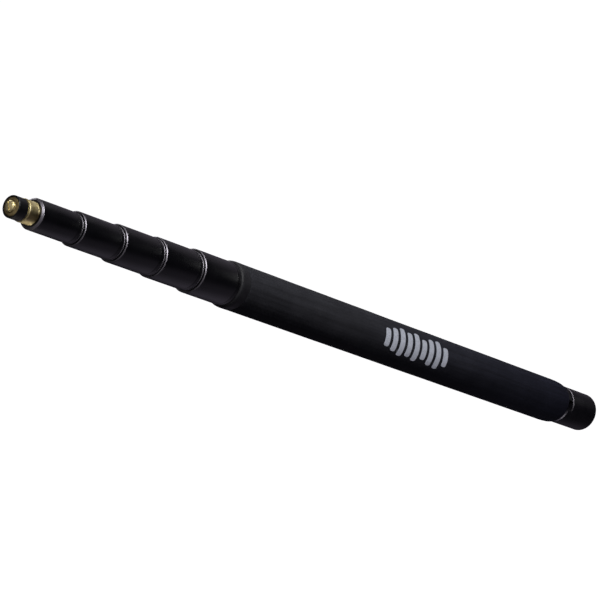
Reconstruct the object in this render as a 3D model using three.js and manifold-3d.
// A telescoping boom pole for a location microphone: five nested tubes, four twist locks,
// a brass microphone stud at the thin end, a foam grip and a screw-on end cap.
//
// Units are millimetres. The pole lies along X with the microphone end towards -X and +Z up.
// The origin is on the pole's axis, half way along the grip. Stations below are measured
// along the pole from the front face of the lock ring, and `along` turns them into X.

import * as THREE from 'three';
import { mergeVertices } from 'three/addons/utils/BufferGeometryUtils.js';
import Module from 'manifold-3d';

const wasm = await Module();
wasm.setup();

// Round pieces are lathed with this many sides.
const sides = 24;

// Room left between pieces that touch, slide or turn, and round bonded sleeves.
const clearance = 0.3;
const bondGap = 0.15;

// How far a cutting tool reaches past what it cuts.
const overcut = 1.0;

// Overall layout along the pole.
const studTip = -3;
const poleEnd = 843.5;
const headFront = 23;
const collarPitch = 49;
const collarLength = 46.6;
const collarChamfer = 0.6;
const headChamfer = 1.1;
const gripFront = 266.5;
const gripRear = 789.5;

// Outer radii that grow from the microphone end to the grip.
const headRadius = 13.25;
const nutRadii = [14.85, 16.45, 17.65, 19.3];
const gripRadius = 20.9;
const capRadius = 18.6;

// The five tubes: radius of the thinnest, growth per section and wall.
const firstTubeRadius = 9.9;
const tubeStep = 1.6;
const tubeWall = 1.0;
const sections = 5;

// Microphone stud. The thread is 3/8 inch.
const threadRadius = 9.525 / 2;
const studChamfer = 1.0;
const neckRadius = 9.9;
const neckChamfer = 0.6;
const shankRadius = 7.5;
const shankEnd = 39;

// Lock ring on the stud, with a brass washer in its front recess.
const lockRingLength = 10.5;
const lockRingRadius = 9.4;
const ringFrontChamfer = 0.8;
const ringRearChamfer = 0.4;
const recessRadius = threadRadius + 2.8;
const recessDepth = 2.0;

// Twist lock: stations are measured from the nut's front face, and the depths of the nut's
// lip, wiper groove, cone and bore outwards from the tube that the lock grips.
const lipLength = 1.2;
const wiperGap = 0.2;
const wiperLength = 3.2;
const wiperGrooveEnd = 4.8;
const coneFront = 6.0;
const coneRear = 16.5;
const colletEnd = 20.0;
const tubeStart = 21.2;
const sleeveFront = 22.0;
const sleeveLength = 22.0;
const sleeveWall = 1.2;
const lipDepth = 0.5;
const wiperGrooveDepth = 1.8;
const coneDepth = 1.0;
const nutBoreDepth = 3.25;
const coneGap = 0.35;

// Each nut has a short nose in front of its face, just thinner than the collar ahead.
const noseLength = 1.7;
const noseStep = 0.1;
const noseEdge = 0.4;

// Slots that split a collet.
const colletSlots = 3;
const slotWidth = 1.0;
const slotEnd = 16.0;

// Guide bushes on the rear ends of the moving tubes, one behind the other inside the grip.
const bushSpigot = 9.0;
const bushFlange = 8.0;
const bushWall = 1.5;
const lastBushEnd = 764.5;
const bushPitch = 19.0;

// Grip.
const gripBandLength = 11.5;
const gripRoundLength = 17.0;
const gripRearRadius = 19.2;

// Base: a neck that plugs the handle tube, with a bumper in front of it.
const bumperFront = 765.0;
const bumperLength = 3.0;
const bumperBoreRadius = 11.5;
const baseSpigotFront = 768.5;
const baseNeckFront = 790.0;
const baseNeckRear = 799.4;
const baseThreadEnd = 812.0;
const baseNeckRadius = 17.5;
const baseThreadRadius = 15.9;
const baseBoreRadius = 12.5;

// Cable windows through the base neck, raised on one side of the axis and lowered on the other.
const windowFront = 790.2;
const windowLength = 8.6;
const windowHeight = 9.5;
const windowOffset = 7.8;

// Seal ring between the base neck and the cap.
const sealFront = 799.9;
const sealLength = 1.4;
const sealEdge = 0.4;

// Cap and end pad.
const capRimFront = 790.5;
const capThreadFront = 802.0;
const capThreadRear = 815.0;
const capCavityRadius = 14.5;
const capFloor = 838.0;
const capEnd = 842.5;
const capEdge = 1.2;
const padRecess = 841.0;
const padRadius = 15.0;
const padEdge = 0.6;

// The cap's rim is cut away over two arcs that let a cable out, given as degrees from +Y to +Z.
const rimGapStart = 65;
const rimGapEnd = 170;
const rimGapRear = 799.0;

const gripMiddle = (gripFront + gripRear) / 2;
const along = (station) => station - gripMiddle;

// ---- Materials -------------------------------------------------------------------------

const finish = (color, roughness, metalness) => () =>
  new THREE.MeshStandardMaterial({ color, roughness, metalness });

const brass = finish(0xa8925c, 0.3, 1.0);
const blackAnodised = finish(0x101014, 0.28, 0.6);
const blackPlastic = finish(0x121214, 0.5, 0.0);
const nylon = finish(0xd8d4c8, 0.5, 0.0);
const rubber = finish(0x17171a, 0.9, 0.0);
const foam = finish(0x1e2024, 0.95, 0.0);
const felt = finish(0x2a2a2c, 1.0, 0.0);

// ---- Solids ----------------------------------------------------------------------------

// Joins vertices that lie together and drops the flat triangles that a lathe leaves on its axis.
function closedBody(geometry) {
  const plain = geometry.index ? geometry : mergeVertices(geometry);
  plain.deleteAttribute('normal');
  plain.deleteAttribute('uv');
  const merged = mergeVertices(plain, 1e-4);
  const corners = merged.index.array;
  const kept = [];
  for (let i = 0; i < corners.length; i += 3) {
    const [a, b, c] = [corners[i], corners[i + 1], corners[i + 2]];
    if (a !== b && b !== c && c !== a) kept.push(a, b, c);
  }
  merged.setIndex(kept);
  return merged;
}

function signedArea(outline) {
  let sum = 0;
  outline.forEach(([station, radius], i) => {
    const [nextStation, nextRadius] = outline[(i + 1) % outline.length];
    sum += radius * nextStation - nextRadius * station;
  });
  return sum;
}

// Turns an outline of [station, radius] corners about the pole's axis. An outline whose first
// and last corners are on the axis makes a solid; any other is closed into a ring.
function turned(outline) {
  const onAxis = outline[0][1] === 0 && outline[outline.length - 1][1] === 0;
  const loop = signedArea(outline) < 0 ? [...outline].reverse() : outline;
  const points = loop.map(([station, radius]) => new THREE.Vector2(radius, along(station)));
  if (!onAxis) points.push(points[0].clone());
  const geometry = new THREE.LatheGeometry(points, sides);
  geometry.rotateZ(-Math.PI / 2);
  return closedBody(geometry);
}

function toManifold(geometry) {
  const body = closedBody(geometry);
  return new wasm.Manifold(new wasm.Mesh({
    numProp: 3,
    vertProperties: new Float32Array(body.attributes.position.array),
    triVerts: new Uint32Array(body.index.array),
  }));
}

function fromManifold(solid) {
  const mesh = solid.getMesh();
  const geometry = new THREE.BufferGeometry();
  geometry.setAttribute('position', new THREE.BufferAttribute(mesh.vertProperties, 3));
  geometry.setIndex(Array.from(mesh.triVerts));
  return geometry;
}

// Cuts each tool geometry out of a body.
function cut(body, tools) {
  let solid = toManifold(body);
  for (const tool of tools) solid = solid.subtract(toManifold(tool));
  return fromManifold(solid);
}

// A box along the pole from one station to another, centred on the given Y and Z.
function block(front, rear, width, height, y = 0, z = 0) {
  const box = new THREE.BoxGeometry(rear - front, width, height);
  box.translate(along((front + rear) / 2), y, z);
  return box;
}

// A wedge about the pole's axis between two angles, given as degrees from +Y to +Z.
function wedge(front, rear, startAngle, endAngle, radius) {
  const steps = 8;
  const fan = new THREE.Shape();
  fan.moveTo(0, 0);
  for (let i = 0; i <= steps; i += 1) {
    const angle = THREE.MathUtils.degToRad(startAngle + ((endAngle - startAngle) * i) / steps);
    fan.lineTo(radius * Math.cos(angle), radius * Math.sin(angle));
  }
  const geometry = new THREE.ExtrudeGeometry(fan, { depth: rear - front, bevelEnabled: false });
  // Extrusion runs along Z with the fan in XY: turn it so that the fan lies in YZ.
  geometry.applyMatrix4(new THREE.Matrix4().set(
    0, 0, 1, along(front),
    1, 0, 0, 0,
    0, 1, 0, 0,
    0, 0, 0, 1,
  ));
  return geometry;
}

// A straight-walled ring between two stations.
const ring = (front, rear, inner, outer) =>
  turned([[front, inner], [front, outer], [rear, outer], [rear, inner]]);

// ---- Tubes -----------------------------------------------------------------------------

// Sections count from 1, the thinnest, to 5, the handle tube under the grip.
const tubeRadius = (section) => firstTubeRadius + tubeStep * (section - 1);
const collarFront = (section) => headFront + collarPitch * (section - 1);
const bushEnd = (section) => lastBushEnd - bushPitch * (sections - 1 - section);
const tubeRear = (section) =>
  section === sections ? baseNeckFront - clearance : bushEnd(section) - bushFlange - clearance;

function tubeFront(section) {
  return section === 1 ? shankEnd + clearance : collarFront(section) + tubeStart;
}

function tube(section) {
  const outer = tubeRadius(section);
  return ring(tubeFront(section), tubeRear(section), outer - tubeWall, outer);
}

// A nylon end bush: its spigot plugs the tube and its flange runs in the next tube.
function guideBush(section) {
  const end = bushEnd(section);
  const flange = end - bushFlange;
  const spigot = tubeRadius(section) - tubeWall - clearance;
  const bore = spigot - bushWall;
  const running = tubeRadius(section + 1) - tubeWall - clearance;
  return turned([
    [flange - bushSpigot, bore],
    [flange - bushSpigot, spigot],
    [flange, spigot],
    [flange, running],
    [end, running],
    [end, bore],
  ]);
}

// ---- Twist locks -----------------------------------------------------------------------

// Lock n grips section n and is carried on the front of section n + 1.
function lockNut(n) {
  const front = collarFront(n + 1);
  const rear = front + collarLength;
  const outer = nutRadii[n - 1];
  const ahead = n === 1 ? headRadius : nutRadii[n - 2];
  const noseRadius = ahead - noseStep;
  const noseFront = front - noseLength;
  const grips = tubeRadius(n);
  return turned([
    [noseFront, grips + lipDepth],
    [noseFront, noseRadius - noseEdge],
    [noseFront + noseEdge, noseRadius],
    [front, noseRadius],
    [front, outer - collarChamfer],
    [front + collarChamfer, outer],
    [rear - collarChamfer, outer],
    [rear, outer - collarChamfer],
    [rear, grips + nutBoreDepth],
    [front + coneRear, grips + nutBoreDepth],
    [front + coneFront, grips + coneDepth],
    [front + wiperGrooveEnd, grips + coneDepth],
    [front + wiperGrooveEnd, grips + wiperGrooveDepth],
    [front + lipLength, grips + wiperGrooveDepth],
    [front + lipLength, grips + lipDepth],
  ]);
}

// A split nylon cone that the nut squeezes onto the tube.
function collet(n) {
  const front = collarFront(n + 1);
  const grips = tubeRadius(n);
  const inner = grips + clearance;
  const outer = grips + nutBoreDepth - coneGap;
  const cone = turned([
    [front + coneFront, inner],
    [front + coneFront, grips + coneDepth - coneGap],
    [front + coneRear, outer],
    [front + colletEnd, outer],
    [front + colletEnd, inner],
  ]);
  const across = 2 * (outer + overcut);
  const slots = [];
  for (let i = 0; i < colletSlots; i += 1) {
    const plate = block(front + coneFront - overcut, front + slotEnd, slotWidth, across);
    plate.rotateX((Math.PI * (i + 0.5)) / colletSlots);
    slots.push(plate);
  }
  return cut(cone, slots);
}

function wiper(n) {
  const front = collarFront(n + 1) + lipLength + wiperGap;
  const grips = tubeRadius(n);
  return ring(front, front + wiperLength, grips + clearance, grips + wiperGrooveDepth - clearance);
}

// The male thread, bonded round the front end of the outer tube.
function threadedSleeve(n) {
  const front = collarFront(n + 1) + sleeveFront;
  const inner = tubeRadius(n + 1) + bondGap;
  return ring(front, front + sleeveLength, inner, inner + sleeveWall);
}

// ---- Microphone end --------------------------------------------------------------------

function microphoneStud() {
  const threadEnd = lockRingLength + clearance;
  return turned([
    [studTip, 0],
    [studTip, threadRadius - studChamfer],
    [studTip + studChamfer, threadRadius],
    [threadEnd, threadRadius],
    [threadEnd, neckRadius - neckChamfer],
    [threadEnd + neckChamfer, neckRadius],
    [headFront - clearance, neckRadius],
    [headFront - clearance, shankRadius],
    [shankEnd, shankRadius],
    [shankEnd, 0],
  ]);
}

function lockRing() {
  const bore = threadRadius + clearance;
  return turned([
    [0, recessRadius],
    [0, lockRingRadius - ringFrontChamfer],
    [ringFrontChamfer, lockRingRadius],
    [lockRingLength - ringRearChamfer, lockRingRadius],
    [lockRingLength, lockRingRadius - ringRearChamfer],
    [lockRingLength, bore],
    [recessDepth, bore],
    [recessDepth, recessRadius],
  ]);
}

function ringWasher() {
  const front = clearance;
  const rear = recessDepth - clearance;
  return ring(front, rear, threadRadius + clearance, recessRadius - clearance);
}

function tipCollar() {
  const rear = headFront + collarLength;
  return turned([
    [headFront, shankRadius + clearance],
    [headFront, headRadius - headChamfer],
    [headFront + headChamfer, headRadius],
    [rear - collarChamfer, headRadius],
    [rear, headRadius - collarChamfer],
    [rear, firstTubeRadius + clearance],
    [shankEnd, firstTubeRadius + clearance],
    [shankEnd, shankRadius + clearance],
  ]);
}

// ---- Grip and base ---------------------------------------------------------------------

const gripBore = tubeRadius(sections) + clearance;

function gripBand() {
  return ring(gripFront, gripFront + gripBandLength, gripBore, gripRadius);
}

function foamGrip() {
  const front = gripFront + gripBandLength + clearance;
  const outline = [[front, gripBore], [front, gripRadius]];
  const steps = 4;
  for (let i = 0; i <= steps; i += 1) {
    const turn = (Math.PI / 2) * (i / steps);
    outline.push([
      gripRear - gripRoundLength * (1 - Math.sin(turn)),
      gripRearRadius + (gripRadius - gripRearRadius) * Math.cos(turn),
    ]);
  }
  outline.push([gripRear, gripBore]);
  return turned(outline);
}

function bumper() {
  const outer = tubeRadius(sections) - tubeWall - clearance;
  return ring(bumperFront, bumperFront + bumperLength, bumperBoreRadius, outer);
}

// The base plugs the handle tube, lets a cable out through its two windows and takes the cap.
function baseNeck() {
  const spigot = tubeRadius(sections) - tubeWall - clearance;
  const neck = turned([
    [baseSpigotFront, baseBoreRadius],
    [baseSpigotFront, spigot],
    [baseNeckFront, spigot],
    [baseNeckFront, baseNeckRadius],
    [baseNeckRear, baseNeckRadius],
    [baseNeckRear, baseThreadRadius],
    [baseThreadEnd, baseThreadRadius],
    [baseThreadEnd, baseBoreRadius],
  ]);
  const windows = [-1, 1].map((side) => block(
    windowFront, windowFront + windowLength, baseNeckRadius, windowHeight,
    side * baseNeckRadius, -side * windowOffset,
  ));
  return cut(neck, windows);
}

function capSeal() {
  const inner = baseThreadRadius + clearance;
  const outer = baseNeckRadius;
  const middle = sealFront + sealLength / 2;
  const rear = sealFront + sealLength;
  return turned([
    [sealFront, inner + sealEdge],
    [sealFront, outer - sealEdge],
    [middle, outer],
    [rear, outer - sealEdge],
    [rear, inner + sealEdge],
    [middle, inner],
  ]);
}

function endCap() {
  const counterbore = baseNeckRadius + clearance;
  const body = turned([
    [capFloor, 0],
    [capFloor, capCavityRadius],
    [capThreadRear, capCavityRadius],
    [capThreadRear, baseThreadRadius + clearance],
    [capThreadFront, baseThreadRadius + clearance],
    [capThreadFront, counterbore],
    [capRimFront, counterbore],
    [capRimFront, capRadius],
    [capEnd - capEdge, capRadius],
    [capEnd, capRadius - capEdge],
    [capEnd, padRadius + clearance],
    [padRecess, padRadius + clearance],
    [padRecess, 0],
  ]);
  const gaps = [0, 180].map((turn) => wedge(
    capRimFront - overcut, rimGapRear, rimGapStart + turn, rimGapEnd + turn, 2 * capRadius,
  ));
  return cut(body, gaps);
}

function endPad() {
  return turned([
    [padRecess + clearance, 0],
    [padRecess + clearance, padRadius],
    [poleEnd - padEdge, padRadius],
    [poleEnd, padRadius - padEdge],
    [poleEnd, 0],
  ]);
}

// ---- Assembly --------------------------------------------------------------------------

const pole = new THREE.Group();

function add(name, geometry, material) {
  const mesh = new THREE.Mesh(geometry, material());
  mesh.name = name;
  pole.add(mesh);
}

add('mic_stud', microphoneStud(), brass);
add('lock_ring', lockRing(), blackPlastic);
add('lock_ring_washer', ringWasher(), brass);
add('tip_collar', tipCollar(), blackAnodised);

for (let section = 1; section <= sections; section += 1) {
  add(`tube_${section}`, tube(section), blackAnodised);
}
for (let n = 1; n < sections; n += 1) {
  add(`lock_nut_${n}`, lockNut(n), blackAnodised);
  add(`collet_${n}`, collet(n), nylon);
  add(`wiper_${n}`, wiper(n), felt);
  add(`threaded_sleeve_${n}`, threadedSleeve(n), blackAnodised);
  add(`guide_bush_${n}`, guideBush(n), nylon);
}

add('grip_band', gripBand(), rubber);
add('foam_grip', foamGrip(), foam);
add('bumper', bumper(), rubber);
add('base_neck', baseNeck(), blackAnodised);
add('cap_seal', capSeal(), rubber);
add('end_cap', endCap(), blackAnodised);
add('end_pad', endPad(), rubber);

export default pole;
